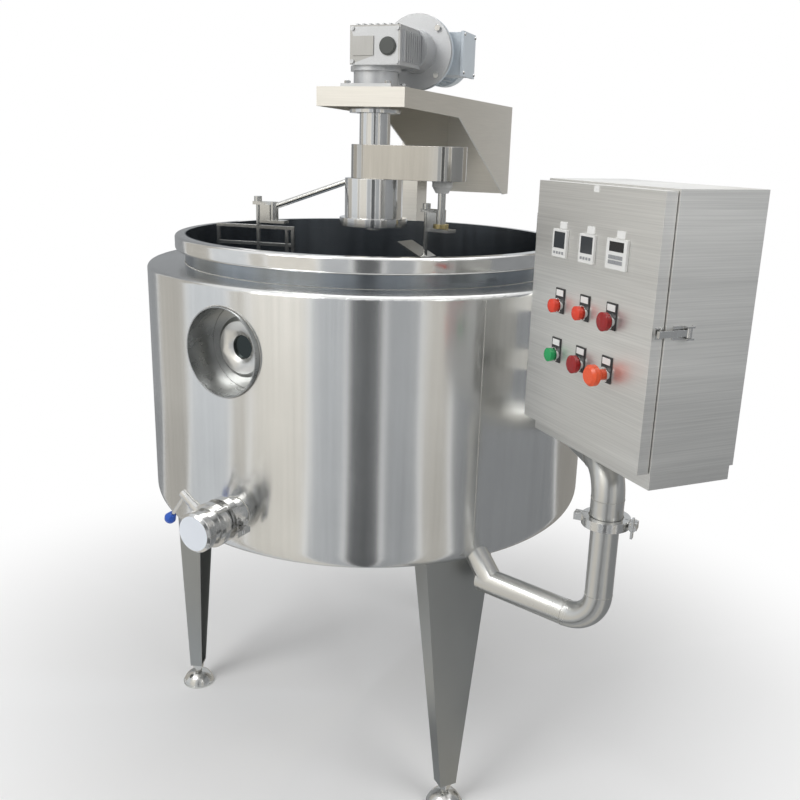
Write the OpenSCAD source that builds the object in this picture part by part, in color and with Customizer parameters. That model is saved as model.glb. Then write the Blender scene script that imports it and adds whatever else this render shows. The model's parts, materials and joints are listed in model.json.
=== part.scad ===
// Jacketed cheese vat on three legs, with an overhead stirrer drive, a drain valve,
// a water loop and a control cabinet on the side.
// Frame: vat axis along +Z, floor at z = 0, front of the vat towards -Y. Millimetres.

/* [Vat] */
// Outer radius of the heating jacket
jacket_r = 600; // [580:5:630]
// Height of the jacket's flat bottom above the floor
jacket_bottom = 716; // [700:2:730]
// Height of the jacket's shoulder above the floor
jacket_top = 1368; // [1350:2:1385]
// Radius of the bend at the jacket's lower edge
knuckle_r = 55; // [45:1:60]
// Inner radius of the milk vessel
vessel_r = 500; // [490:2:510]
// Height of the vessel's rim above the floor
rim_top = 1441; // [1430:1:1450]
// Height of the folded rim band
rim_h = 39; // [30:1:45]
// Reach of the folded rim band beyond the vessel
rim_w = 25; // [18:1:32]
// Thickness of the rolled sheet
sheet = 3; // [2:0.5:4]

/* [Legs] */
// Radius of the legs' outer faces from the vat's axis
leg_r = 556; // [540:2:560]
// Width of a leg under the jacket
leg_top_w = 184; // [150:2:200]
// Width of a leg above its foot
leg_foot_w = 46; // [42:1:60]
// Radius of a foot
foot_r = 48; // [42:1:55]

/* [Ports] */
// Azimuth of the recessed port
port_az = -117.8; // [-120:0.2:-115]
// Height of the recessed port
port_z = 1217; // [1205:1:1230]
// Outer radius of the recessed port's cup
port_r = 105; // [95:1:110]
// Azimuth of the drain valve
drain_az = -115; // [-118:0.5:-112]
// Height of the drain valve's axis
drain_z = 834; // [832:1:850]
// Outer radius of the drain tube
drain_r = 38; // [34:1:39]
// Angle of the valve's stem round the drain axis
stem_turn = 234; // [225:1:245]
// Length of the valve's lever
lever_l = 82; // [70:1:95]

/* [Water loop] */
// Outer radius of the lower loop pipe
loop_r = 30; // [26:1:32]
// Outer radius of the upper loop pipe
loop_top_r = 35; // [33:1:38]
// Place of the vertical loop pipe, across
loop_x = 582; // [575:1:592]
// Place of the vertical loop pipe, front to back
loop_y = -684; // [-692:1:-676]
// Height of the lower loop run
loop_run_z = 680; // [674:1:683]
// Height of the clamp in the loop
loop_joint_z = 928; // [905:1:935]
// Height of the upper loop branch
loop_branch_z = 1048; // [1040:1:1054]

/* [Cabinet] */
// Width of the cabinet
cab_w = 400; // [390:2:410]
// Height of the cabinet
cab_h = 500; // [480:2:520]
// Depth of the cabinet without its door
cab_d = 190; // [180:2:210]
// Thickness of the door
door_t = 24; // [20:1:28]
// Height of the cabinet's bottom above the floor
cab_z = 1123; // [1115:1:1130]
// Turn of the cabinet's face round the vertical
cab_turn = -62.5; // [-65:0.5:-60]
// Button spacing across the door
button_pitch = 85; // [75:1:90]
// Travel of a push button
button_travel = 4; // [2:0.5:5]

/* [Drive] */
// Azimuth of the drive bracket
bracket_az = 74; // [72:0.5:76]
// Length of the bracket behind the vat's axis
bracket_l = 1000; // [960:5:1040]
// Width of the bracket
bracket_w = 242; // [230:2:250]
// Height of the bracket's top face
bracket_z = 1817; // [1805:1:1830]
// Depth of the bracket at its rear
bracket_d = 302; // [285:1:320]
// Radius of the motor's flange
flange_r = 98; // [90:1:100]

/* [Stirrer] */
// Azimuth of the chain case, with the arm opposite
case_az = -12; // [-30:1:0]
// Distance from the vat's axis to the turning tool
planet_d = 190; // [180:1:200]
// Distance from the vat's axis to the arm's holder
arm_d = 295; // [285:1:305]
// Radius of the fixed sleeve
sleeve_r = 41; // [38:0.5:44]
// Radius of the skirt under the chain case
skirt_r = 78; // [70:1:80]
// Height of the harp frame's top bar
harp_top = 1449; // [1446:1:1455]
// Height of the tools' lower ends
tool_low = 850; // [835:1:880]

/* [Fits] */
// Radial clearance of a turning or sliding fit
run_gap = 0.05; // [0.02:0.01:0.1]
// Free space between pieces that pass each other
free_gap = 0.5; // [0.3:0.1:1]

/* [Hidden] */
$fn = 96;

big_fn = 360;
shoulder_r = 12;
vessel_out = vessel_r + sheet;
vessel_low = jacket_bottom + 71;
vessel_bend = 40;

leg_azs = [180, -60, 60];
leg_t = 4;
leg_low = 66;
leg_depth = 70;
leg_foot_depth = 36;
foot_at = leg_r - leg_foot_depth / 2;
foot_h = 42;
anchor_r = 6;
anchor_out = 30;
anchor_turn = 60;

port_face = jacket_r + 6;
port_floor = vessel_out + 13;
port_bore = 28;
port_neck = 36;

tube_t = 2;
ferrule_t = 6;
gasket_t = 2;
drain_ferrule = drain_r + 7.5;
drain_end = jacket_r + 45;
valve_l = 80;
valve_start = drain_end + gasket_t;
valve_mid = valve_start + valve_l / 2;
valve_end = valve_start + valve_l;
valve_bore = drain_r - tube_t;
valve_block_r = drain_r + 14;
stem_r = 6;
stem_boss = valve_block_r + 14;
hub_l = 36;

loop_ferrule = loop_top_r + 10;
loop_stub_az = -55.3;
loop_stub_tilt = 39;
loop_stub_l = 150;
loop_stub_r = loop_r - 1.5;
loop_bend = 75;
loop_top_bend = 70;
loop_corner_r = jacket_r + 28;
loop_corner = loop_corner_r * [cos(loop_stub_az), sin(loop_stub_az)];
loop_run = loop_corner - [loop_x, loop_y];
loop_run_az = atan2(loop_run[1], loop_run[0]);
loop_run_l = norm(loop_run);
loop_entry_az = -33;
loop_entry = jacket_r * [cos(loop_entry_az), sin(loop_entry_az)];
loop_branch = loop_entry - [loop_x, loop_y];
loop_branch_az = atan2(loop_branch[1], loop_branch[0]);
loop_branch_l = norm(loop_branch);

cab_x = 514.5;
cab_y = -761;
cab_sheet = 2;
door_w = cab_w - 8;
door_h = cab_h - 8;
door_gap = 1;
door_front = -door_gap - door_t;
plinth_h = 29;
arm_zs = [cab_z + 60, cab_z + 200];
hinge_x = -cab_w / 2 - 7;
hinge_y = -12;
hinge_r = 6;
hinge_pin_r = 3;
hinge_h = 25;
hinge_zs = [cab_z + 70, cab_z + cab_h - 120];
latch_z = cab_z + 260;
latch_pin_y = 44;
latch_off = 7;
latch_pin_r = 2;
display_xs = [-101, -9, 83];
display_ws = [48, 48, 60];
display_z = cab_z + 380;
display_h = 54;
window_ws = [38, 38, 42];
window_lows = [-9, -9, 5];
window_top = display_h / 2 - 5;
button_xs = [-5 - button_pitch, -5, -5 + button_pitch];
button_zs = [cab_z + 260, cab_z + 161];
button_hole = 11;
button_cap = 10;
bezel_r = 14.5;
bezel_h = 8;
legend_t = 2;
head_r = 13.5;
lens_r = 17.5;
head_h = 8;
dome_h = 3;
head_rise = button_travel + free_gap;
mushroom_r = 20;

plate_t = 4;
bracket_front = 105;
lip_h = 48;
kink_x = 365;
post_x = jacket_r + 140;
post_l = 100;
post_w = 60;
post_top = bracket_z - 17;
post_low = jacket_bottom + 44;
post_mid = [post_x * cos(bracket_az) - (bracket_w + post_w) / 2 * sin(bracket_az),
    post_x * sin(bracket_az) + (bracket_w + post_w) / 2 * cos(bracket_az)];
post_az = atan2(post_mid[1], post_mid[0]);
post_arm_zs = [jacket_bottom + 190, jacket_top - 100];

gear_low = bracket_z + 54;
gear_top = gear_low + 94;
worm_y = -60;
motor_z = bracket_z + flange_r + 6;
motor_r = 72;
flange_x = 140;
flange_t = 12;
motor_x = flange_x + 2 * flange_t;
motor_l = 190;
fan_l = 52;
gear_bolts = [[-56, -56], [-56, 56], [56, -56], [56, 56]];

case_top = bracket_z - 140;
case_h = 87;
case_low = case_top - case_h;
case_r = 62;
case_t = 4;
shaft_r = 20;
skirt_h = 103;
skirt_low = case_low - skirt_h;
skirt_flange_h = 22;
skirt_flange_r = skirt_r + 14;
planet_r = 10.5;
rod_r = 8;
holder_top = skirt_low + 28;
holder_low = skirt_low - 30;
holder_reach = 48;
bar = 9;
harp_clear = 27;

module polar(a, r = 0, z = 0) {
    rotate([0, 0, a]) translate([r, 0, z]) children();
}

module outward(a, z, r) {
    polar(a, r, z) rotate([0, 90, 0]) children();
}

module tube(r, wall, h) {
    difference() {
        cylinder(h = h, r = r);
        translate([0, 0, -1]) cylinder(h = h + 2, r = r - wall);
    }
}

module centred(x, y, z0, z1) {
    translate([-x / 2, -y / 2, z0]) cube([x, y, z1 - z0]);
}

module elbow(bend, r) {
    rotate([90, 0, 0]) rotate_extrude(angle = 90) translate([bend, 0]) circle(r);
}

module pot_profile(r, z0, z1, low, high) {
    translate([0, z0]) square([r - low, z1 - high - z0]);
    translate([0, z0 + low]) square([r, z1 - high - z0 - low]);
    translate([r - low, z0 + low]) circle(low, $fn = 96);
    translate([0, z1 - high - 1]) square([r - high, high + 1]);
    translate([r - high, z1 - high]) circle(high, $fn = 96);
}

module jacket_solid() {
    rotate_extrude($fn = big_fn) intersection() {
        pot_profile(jacket_r, jacket_bottom, jacket_top, knuckle_r, shoulder_r);
        translate([0, jacket_bottom]) square([jacket_r, jacket_top]);
    }
}

module inner_vessel() {
    color("gainsboro") difference() {
        rotate_extrude() difference() {
            union() {
                translate([0, vessel_low]) square([vessel_out - vessel_bend, rim_top - vessel_low]);
                translate([0, vessel_low + vessel_bend])
                    square([vessel_out, rim_top - vessel_low - vessel_bend]);
                translate([vessel_out - vessel_bend, vessel_low + vessel_bend]) circle(vessel_bend);
            }
            translate([0, vessel_low + sheet]) square([vessel_out - vessel_bend, rim_top]);
            translate([0, vessel_low + vessel_bend]) square([vessel_r, rim_top]);
            translate([vessel_out - vessel_bend, vessel_low + vessel_bend])
                circle(vessel_bend - sheet);
        }
        outward(drain_az, drain_z, vessel_r - 90) cylinder(h = 120, r = drain_r);
        outward(port_az, port_z, vessel_r - 40) cylinder(h = 80, r = port_neck);
    }
}

module outer_jacket() {
    color("silver") difference() {
        rotate_extrude() difference() {
            pot_profile(jacket_r, jacket_bottom, jacket_top, knuckle_r, shoulder_r);
            pot_profile(jacket_r - sheet, jacket_bottom + sheet, jacket_top - sheet,
                knuckle_r - sheet, shoulder_r - sheet);
            translate([0, jacket_top - sheet - 1]) square([vessel_out, sheet + 2]);
        }
        outward(port_az, port_z, jacket_r - 60) cylinder(h = 90, r = port_r);
        outward(drain_az, drain_z, jacket_r - 60) cylinder(h = 90, r = drain_r);
        loop_stub_axis() cylinder(h = loop_stub_l, r = loop_stub_r - tube_t);
        loop_branch_axis() translate([0, 0, loop_branch_l - 200])
            cylinder(h = 290, r = loop_top_r - tube_t);
    }
}

module rim_ring() {
    color("gainsboro") rotate_extrude() translate([vessel_out, rim_top - rim_h]) difference() {
        union() {
            square([rim_w - 8, rim_h]);
            translate([0, 8]) square([rim_w, rim_h - 16]);
            translate([rim_w - 8, 8]) circle(8);
            translate([rim_w - 8, rim_h - 8]) circle(8);
        }
        translate([-1, sheet]) square([rim_w - 7, rim_h - 2 * sheet]);
        translate([0, 8]) square([rim_w - sheet, rim_h - 16]);
    }
}

module port_cup() {
    color("silver") difference() {
        outward(port_az, port_z, vessel_r - 60)
            cylinder(h = port_face - vessel_r + 60, r = port_r);
        outward(port_az, port_z, vessel_r - 70)
            cylinder(h = port_face - vessel_r + 80, r = port_r - sheet);
        cylinder(h = rim_top, r = vessel_out);
    }
}

module port_boss() {
    color("lightgray") difference() {
        union() {
            outward(port_az, port_z, port_floor) cylinder(h = 5, r = port_r - sheet);
            outward(port_az, port_z, port_floor) cylinder(h = 16, r = 72);
            outward(port_az, port_z, port_floor + 16) cylinder(h = 8, r1 = 72, r2 = 62);
            outward(port_az, port_z, vessel_r - 30)
                cylinder(h = port_floor - vessel_r + 31, r = port_neck);
        }
        outward(port_az, port_z, vessel_r - 60) cylinder(h = 200, r = port_bore);
        outward(port_az, port_z, port_floor + 16)
            cylinder(h = 9, r1 = port_bore, r2 = port_bore + 14);
        cylinder(h = rim_top, r = vessel_r);
    }
}

module port_glass() {
    color("darkslategray") outward(port_az, port_z, port_floor)
        cylinder(h = 10, r = port_bore);
}

module leg_block(inset, depth_add) {
    rotate([90, 0, 90]) translate([0, 0, leg_r - leg_depth - depth_add])
        linear_extrude(leg_depth + depth_add - inset) polygon([
            [-leg_foot_w / 2 + inset, leg_low],
            [leg_foot_w / 2 - inset, leg_low],
            [leg_top_w / 2 - inset, jacket_bottom + 30],
            [-leg_top_w / 2 + inset, jacket_bottom + 30]
        ]);
}

module legs() {
    color("gray") for (a = leg_azs) difference() {
        rotate([0, 0, a]) difference() {
            leg_block(0, 0);
            difference() {
                leg_block(leg_t, 10);
                translate([0, -leg_top_w, 0]) cube([leg_r, 2 * leg_top_w, leg_low + 6]);
            }
            rotate([90, 0, 0]) translate([0, 0, -leg_top_w]) linear_extrude(2 * leg_top_w) polygon([
                [leg_r - leg_foot_depth, leg_low - 1],
                [leg_r - leg_depth, jacket_bottom],
                [leg_r - leg_depth - 20, jacket_bottom],
                [leg_r - leg_depth - 20, leg_low - 1]
            ]);
        }
        jacket_solid();
    }
}

module feet() {
    color("darkgray") for (a = leg_azs) polar(a, foot_at) difference() {
        union() {
            intersection() {
                translate([0, 0, foot_h - foot_r]) sphere(foot_r);
                cylinder(h = foot_h, r = foot_r);
            }
            cylinder(h = 5, r = foot_r);
            cylinder(h = leg_low - 8, r = 11);
            translate([0, 0, leg_low - 14]) cylinder(h = 14, r = 16);
        }
        rotate([0, 0, anchor_turn]) translate([anchor_out, 0, -1]) cylinder(h = 60, r = anchor_r);
    }
}

module outlet_stub() {
    color("silver") difference() {
        union() {
            outward(drain_az, drain_z, vessel_r - 80)
                cylinder(h = drain_end - vessel_r + 80, r = drain_r);
            outward(drain_az, drain_z, drain_end - ferrule_t)
                cylinder(h = ferrule_t, r = drain_ferrule);
        }
        outward(drain_az, drain_z, vessel_r - 90) cylinder(h = 400, r = drain_r - tube_t);
        cylinder(h = rim_top, r = vessel_r);
    }
}

module stem_axis() {
    outward(drain_az, drain_z, valve_mid) rotate([0, 0, stem_turn]) rotate([0, 90, 0]) children();
}

module valve_body() {
    color("silver") difference() {
        union() {
            outward(drain_az, drain_z, valve_start) {
                cylinder(h = valve_l, r = drain_r);
                cylinder(h = ferrule_t, r = drain_ferrule);
                translate([0, 0, valve_l - ferrule_t]) cylinder(h = ferrule_t, r = drain_ferrule);
                translate([0, 0, valve_l / 2 - 17]) cylinder(h = 34, r = valve_block_r - 6);
                translate([0, 0, valve_l / 2 - 8]) cylinder(h = 16, r = valve_block_r);
            }
            stem_axis() cylinder(h = stem_boss, r = 12);
            for (side = [-1, 1]) stem_axis() translate([0, side * (valve_block_r - 2), 0])
                rotate([0, 90, 0]) translate([0, 0, -16]) cylinder(h = 32, r = 7);
        }
        outward(drain_az, drain_z, valve_start - 1) cylinder(h = valve_l + 2, r = valve_bore);
        stem_axis() cylinder(h = stem_boss + 1, r = stem_r + run_gap);
    }
}

module valve_disc() {
    color("lightgray") stem_axis() {
        intersection() {
            sphere(valve_bore - free_gap);
            translate([-4, -valve_bore, -valve_bore]) cube([8, 2 * valve_bore, 2 * valve_bore]);
        }
        cylinder(h = stem_boss + hub_l + 2, r = stem_r);
    }
}

module valve_handle() {
    color("gainsboro") stem_axis() difference() {
        union() {
            translate([0, 0, stem_boss + 1]) cylinder(h = hub_l, r = 10);
            translate([0, 0, stem_boss + hub_l - 8]) rotate([-90, 0, 0]) cylinder(h = lever_l, r = 4.5);
        }
        cylinder(h = stem_boss + hub_l + 3, r = stem_r);
    }
}

module valve_knob() {
    color("blue") stem_axis() translate([0, lever_l - 14, stem_boss + hub_l - 8]) rotate([-90, 0, 0])
        difference() {
            union() {
                cylinder(h = 16, r1 = 8, r2 = 14);
                translate([0, 0, 16]) cylinder(h = 9, r1 = 14, r2 = 11);
            }
            translate([0, 0, -1]) cylinder(h = 15, r = 4.5);
        }
}

module outlet_cap() {
    color("lightsteelblue") outward(drain_az, drain_z, valve_end) {
        cylinder(h = 14, r = drain_ferrule + 1);
        translate([0, 0, 14]) cylinder(h = 6, r1 = drain_ferrule + 1, r2 = drain_ferrule - 5);
    }
}

module clamp_pair(r, pipe) {
    band = 2 * ferrule_t + gasket_t;
    difference() {
        union() {
            translate([0, 0, -band / 2 - 3]) cylinder(h = band + 6, r = r + 6);
            for (side = [-1, 1]) translate([side * (r + 11), 0, 0]) centred(22, 22, -8, 8);
        }
        translate([0, 0, -band / 2]) cylinder(h = band, r = r);
        translate([0, 0, -band]) cylinder(h = 2 * band, r = pipe + 2);
        translate([-2 * r, -1, -band]) cube([4 * r, 2, 2 * band]);
        translate([r + 14, 20, 0]) rotate([90, 0, 0]) cylinder(h = 40, r = 4);
    }
}

module clamp_screw(r) {
    translate([r + 14, 17, 0]) rotate([90, 0, 0]) {
        cylinder(h = 40, r = 4);
        translate([0, 0, 28]) cylinder(h = 10, r = 8);
        translate([0, 0, 33]) centred(5, 44, -5, 9);
        cylinder(h = 6, r = 7);
    }
}

module drain_joint() {
    outward(drain_az, drain_z, drain_end + gasket_t / 2) rotate([0, 0, 90]) children();
}

module loop_joint() {
    translate([loop_x, loop_y, loop_joint_z]) rotate([0, 0, -20]) children();
}

module clamp_rings() {
    color("silver") {
        drain_joint() clamp_pair(drain_ferrule, drain_r);
        loop_joint() clamp_pair(loop_ferrule, loop_top_r);
    }
}

module wing_nuts() {
    color("lightgray") {
        drain_joint() clamp_screw(drain_ferrule);
        loop_joint() clamp_screw(loop_ferrule);
    }
}

module tube_gaskets() {
    color("white") {
        drain_joint() translate([0, 0, -gasket_t / 2])
            tube(drain_ferrule, drain_ferrule - drain_r + tube_t, gasket_t);
        loop_joint() translate([0, 0, -gasket_t / 2])
            tube(loop_ferrule, loop_ferrule - loop_r + tube_t, gasket_t);
    }
}

module loop_run_frame() {
    translate([loop_x, loop_y, 0]) rotate([0, 0, loop_run_az]) children();
}

module loop_stub_axis() {
    loop_run_frame() translate([loop_run_l, 0, loop_run_z]) rotate([0, loop_stub_tilt, 0]) children();
}

module loop_lower_form(wall, end) {
    loop_stub_axis() cylinder(h = loop_stub_l, r = loop_stub_r - wall);
    loop_run_frame() {
        translate([loop_bend, 0, loop_run_z]) rotate([0, 90, 0])
            cylinder(h = loop_run_l - loop_bend + loop_r - wall, r = loop_r - wall);
        translate([loop_bend, 0, loop_run_z + loop_bend]) rotate([0, 180, 0])
            elbow(loop_bend, loop_r - wall);
        translate([0, 0, loop_run_z + loop_bend])
            cylinder(h = end - loop_run_z - loop_bend, r = loop_r - wall);
    }
}

module loop_lower() {
    top = loop_joint_z - gasket_t / 2;
    color("silver") difference() {
        union() {
            loop_lower_form(0, top);
            loop_run_frame() translate([0, 0, top - ferrule_t]) cylinder(h = ferrule_t, r = loop_ferrule);
        }
        loop_lower_form(tube_t, top + 1);
        jacket_solid();
    }
}

module loop_branch_frame() {
    translate([loop_x, loop_y, 0]) rotate([0, 0, loop_branch_az]) children();
}

module loop_branch_axis() {
    loop_branch_frame() translate([0, 0, loop_branch_z]) rotate([0, 90, 0]) children();
}

module loop_upper_form(r, start) {
    loop_branch_frame() translate([0, 0, start]) cylinder(h = loop_branch_z - loop_top_bend - start, r = r);
    loop_branch_frame() translate([loop_top_bend, 0, loop_branch_z - loop_top_bend]) rotate([0, -90, 0])
        elbow(loop_top_bend, r);
    loop_branch_axis() translate([0, 0, loop_top_bend])
        cylinder(h = loop_branch_l - loop_top_bend + 60, r = r);
}

module loop_upper() {
    low = loop_joint_z + gasket_t / 2;
    color("silver") difference() {
        union() {
            loop_upper_form(loop_top_r, low);
            loop_branch_frame() translate([0, 0, low]) cylinder(h = ferrule_t, r = loop_ferrule);
        }
        loop_upper_form(loop_top_r - tube_t, low - 1);
        jacket_solid();
    }
}

module cabinet() {
    translate([cab_x, cab_y, 0]) rotate([0, 0, cab_turn]) children();
}

module cabinet_body() {
    color("silver") cabinet() difference() {
        translate([-cab_w / 2, 0, cab_z]) cube([cab_w, cab_d, cab_h]);
        translate([-cab_w / 2 + cab_sheet, cab_sheet, cab_z + cab_sheet])
            cube([cab_w - 2 * cab_sheet, cab_d - 2 * cab_sheet, cab_h - 2 * cab_sheet]);
        translate([-cab_w / 2 + 22, -1, cab_z + 22]) cube([cab_w - 44, 10, cab_h - 44]);
    }
}

module cabinet_plinth() {
    color("silver") cabinet() difference() {
        translate([-cab_w / 2 + 4, 4, cab_z - plinth_h]) cube([cab_w - 8, cab_d - 8, plinth_h]);
        translate([-cab_w / 2 + 7, 7, cab_z - plinth_h - 1]) cube([cab_w - 14, cab_d - 14, plinth_h - 2]);
    }
}

module cabinet_arms() {
    color("gray") difference() {
        cabinet() for (z = arm_zs) difference() {
            translate([-cab_w / 2 - 260, cab_d / 2 - 25, z]) cube([260, 50, 50]);
            translate([-cab_w / 2 - 261, cab_d / 2 - 22, z + 3]) cube([262, 44, 44]);
        }
        cylinder(h = 3000, r = jacket_r, $fn = big_fn);
    }
}

module mounting_plate() {
    color("lightgray") cabinet() {
        translate([-cab_w / 2 + 40, cab_d - 42, cab_z + 40]) cube([cab_w - 80, 3, cab_h - 80]);
        for (x = [-1, 1], z = [60, cab_h - 60])
            translate([x * (cab_w / 2 - 60), cab_d - cab_sheet, cab_z + z]) rotate([90, 0, 0])
                cylinder(h = 38, r = 6);
    }
}

module button_spots() {
    for (x = button_xs, z = button_zs) translate([x, 0, z]) children();
}

module cabinet_door() {
    color("gainsboro") cabinet() difference() {
        translate([-door_w / 2, door_front, cab_z + 4]) cube([door_w, door_t, door_h]);
        translate([-door_w / 2 + cab_sheet, door_front + cab_sheet, cab_z + 4 + cab_sheet])
            cube([door_w - 2 * cab_sheet, door_t, door_h - 2 * cab_sheet]);
        for (i = [0 : 2]) translate([display_xs[i], 0, display_z])
            centred(display_ws[i] - 4, 100, -display_h / 2 + 2, display_h / 2 - 2);
        button_spots() rotate([90, 0, 0]) translate([0, 0, -50]) cylinder(h = 100, r = button_hole);
    }
}

module hinge_fixed() {
    color("dimgray") cabinet() for (z = hinge_zs) {
        translate([hinge_x, hinge_y, z]) cylinder(h = hinge_h, r = hinge_r);
        translate([hinge_x, hinge_y, z]) cylinder(h = 2 * hinge_h - 1, r = hinge_pin_r);
        translate([-cab_w / 2 - 3, hinge_y, z]) cube([3, 50, hinge_h]);
    }
}

module hinge_moving() {
    color("gray") cabinet() for (z = hinge_zs) difference() {
        translate([0, 0, z + hinge_h + free_gap]) {
            translate([hinge_x, hinge_y, 0]) cylinder(h = hinge_h, r = hinge_r);
            translate([hinge_x, hinge_y - 2, 0]) cube([-door_w / 2 - hinge_x, 4, hinge_h]);
        }
        translate([hinge_x, hinge_y, z]) cylinder(h = 3 * hinge_h, r = hinge_pin_r + run_gap);
    }
}

module latch_base() {
    color("gray") cabinet() translate([cab_w / 2, 0, latch_z]) {
        translate([0, 14, -12]) cube([2, 42, 24]);
        for (z = [-12, 9]) difference() {
            translate([0, latch_pin_y - 8, z]) cube([latch_off + 6, 16, 3]);
            translate([latch_off, latch_pin_y, z - 1]) cylinder(h = 5, r = latch_pin_r + run_gap);
        }
    }
}

module latch_lever() {
    color("silver") cabinet() translate([cab_w / 2, 0, latch_z]) {
        translate([latch_off, latch_pin_y, -9 + free_gap]) cylinder(h = 18 - 2 * free_gap, r = 4);
        translate([latch_off, latch_pin_y, -12]) cylinder(h = 24, r = latch_pin_r);
        translate([latch_off - 2, -22, -6]) cube([3, latch_pin_y + 22, 12]);
        translate([latch_off - 2, -22, -6]) cube([7, 3, 12]);
    }
}

module latch_keeper() {
    color("gray") cabinet() translate([door_w / 2, 0, latch_z]) {
        translate([0, -20, -10]) cube([2, 16, 20]);
        translate([0, -10, -10]) cube([5, 3, 20]);
    }
}

module display_cases() {
    color("whitesmoke") cabinet() for (i = [0 : 2]) translate([display_xs[i], 0, display_z]) difference() {
        union() {
            translate([0, door_front - 3, 0]) centred(display_ws[i], 6, -display_h / 2, display_h / 2);
            translate([0, door_front + 30, 0])
                centred(display_ws[i] - 4, 60, -display_h / 2 + 2, display_h / 2 - 2);
        }
        translate([0, door_front - 6, 0]) centred(window_ws[i], 4, window_lows[i], window_top);
    }
}

module display_windows() {
    color("black") cabinet() for (i = [0 : 2]) translate([display_xs[i], door_front - 5, display_z])
        centred(window_ws[i], 2, window_lows[i], window_top);
}

module name_plates() {
    color("white") cabinet() {
        for (x = display_xs) translate([x + 4, door_front - 0.5, display_z + display_h / 2 + free_gap])
            centred(24, 1, 0, 14);
        translate([2, door_front - 0.5, cab_z + cab_h - 17]) centred(16, 1, 0, 12);
        button_spots() translate([0, door_front - legend_t - 0.5, bezel_r + 4]) centred(24, 1, 0, 12);
    }
}

module button_holders() {
    color("black") cabinet() button_spots() difference() {
        union() {
            translate([0, door_front - legend_t / 2, 0]) centred(31, legend_t, -bezel_r - 1, bezel_r + 19);
            translate([0, door_front, 0]) rotate([90, 0, 0]) cylinder(h = bezel_h, r = bezel_r);
            translate([0, door_front + 26, 0]) rotate([90, 0, 0]) cylinder(h = 27, r = button_hole);
            translate([0, door_front + 12, 0]) rotate([90, 0, 0]) cylinder(h = 10, r = bezel_r);
        }
        translate([0, door_front + 30, 0]) rotate([90, 0, 0]) cylinder(h = 50, r = 5 + run_gap);
        translate([0, door_front - bezel_h + button_travel + 1, 0]) rotate([90, 0, 0])
            cylinder(h = 20, r = button_cap + free_gap);
    }
}

module at_button(i, j) {
    cabinet() translate([button_xs[i], door_front - bezel_h, button_zs[j]]) rotate([90, 0, 0]) children();
}

module button_stem(neck) {
    translate([0, 0, -30]) cylinder(h = 31, r = 5);
    translate([0, 0, -0.5]) cylinder(h = neck + 0.5, r = button_cap);
}

module button_dome(r) {
    cylinder(h = head_h, r = r);
    translate([0, 0, head_h]) cylinder(h = dome_h, r1 = r, r2 = r - 1.5 * dome_h);
}

module press_button(i, j, r) {
    at_button(i, j) {
        button_stem(head_rise + 1);
        translate([0, 0, head_rise]) button_dome(r);
    }
}

module button_red_1() {
    color("orangered") press_button(0, 0, head_r);
}

module button_red_2() {
    color("orangered") press_button(1, 0, head_r);
}

module lamp_red() {
    color("darkred") at_button(2, 0) {
        translate([0, 0, -button_travel - 1]) cylinder(h = head_rise + button_travel + 2, r = button_cap);
        cylinder(h = head_rise, r = bezel_r - 1);
        translate([0, 0, head_rise]) button_dome(lens_r);
    }
}

module button_green() {
    color("green") press_button(0, 1, head_r);
}

module button_stop() {
    color("crimson") press_button(1, 1, lens_r);
}

module estop_button() {
    color("orangered") at_button(2, 1) {
        button_stem(button_travel + 10);
        translate([0, 0, button_travel + 8]) {
            cylinder(h = 6, r1 = mushroom_r - 6, r2 = mushroom_r);
            translate([0, 0, 6]) cylinder(h = 10, r = mushroom_r);
            translate([0, 0, 16]) cylinder(h = 5, r1 = mushroom_r, r2 = mushroom_r - 5);
        }
    }
}

module bracket_frame() {
    rotate([0, 0, bracket_az]) children();
}

module cheek() {
    rotate([90, 0, 0]) linear_extrude(plate_t) polygon([
        [-bracket_front, bracket_z],
        [bracket_l, bracket_z],
        [bracket_l, bracket_z - bracket_d],
        [bracket_l - 70, bracket_z - bracket_d],
        [kink_x, bracket_z - lip_h - 9],
        [-bracket_front, bracket_z - lip_h]
    ]);
}

module drive_bracket() {
    color("gainsboro") bracket_frame() difference() {
        union() {
            translate([-bracket_front, -bracket_w / 2, bracket_z - plate_t])
                cube([bracket_front + bracket_l, bracket_w, plate_t]);
            translate([0, -bracket_w / 2 + plate_t, 0]) cheek();
            translate([0, bracket_w / 2, 0]) cheek();
            translate([-bracket_front, -bracket_w / 2, bracket_z - lip_h]) cube([plate_t, bracket_w, lip_h]);
            translate([bracket_l - plate_t, -bracket_w / 2, bracket_z - bracket_d])
                cube([plate_t, bracket_w, bracket_d]);
        }
        translate([0, 0, bracket_z - 20]) cylinder(h = 40, r = shaft_r + 6);
        for (p = gear_bolts) translate([p[0], p[1], bracket_z - 20]) cylinder(h = 40, r = 5);
    }
}

module post_solid() {
    bracket_frame() translate([post_x - post_l / 2, bracket_w / 2, post_low])
        cube([post_l, post_w, post_top - post_low]);
}

module drive_post() {
    color("silver") difference() {
        post_solid();
        bracket_frame() translate([post_x - post_l / 2 + plate_t, bracket_w / 2 + plate_t, post_low - 1])
            cube([post_l - 2 * plate_t, post_w - 2 * plate_t, post_top - post_low - plate_t]);
    }
}

module post_arms() {
    color("gray") difference() {
        for (z = post_arm_zs) polar(post_az, 0, z) translate([jacket_r - 20, -30, 0])
            cube([norm(post_mid) - jacket_r + 20, 60, 60]);
        cylinder(h = 3000, r = jacket_r, $fn = big_fn);
        post_solid();
    }
}

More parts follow.
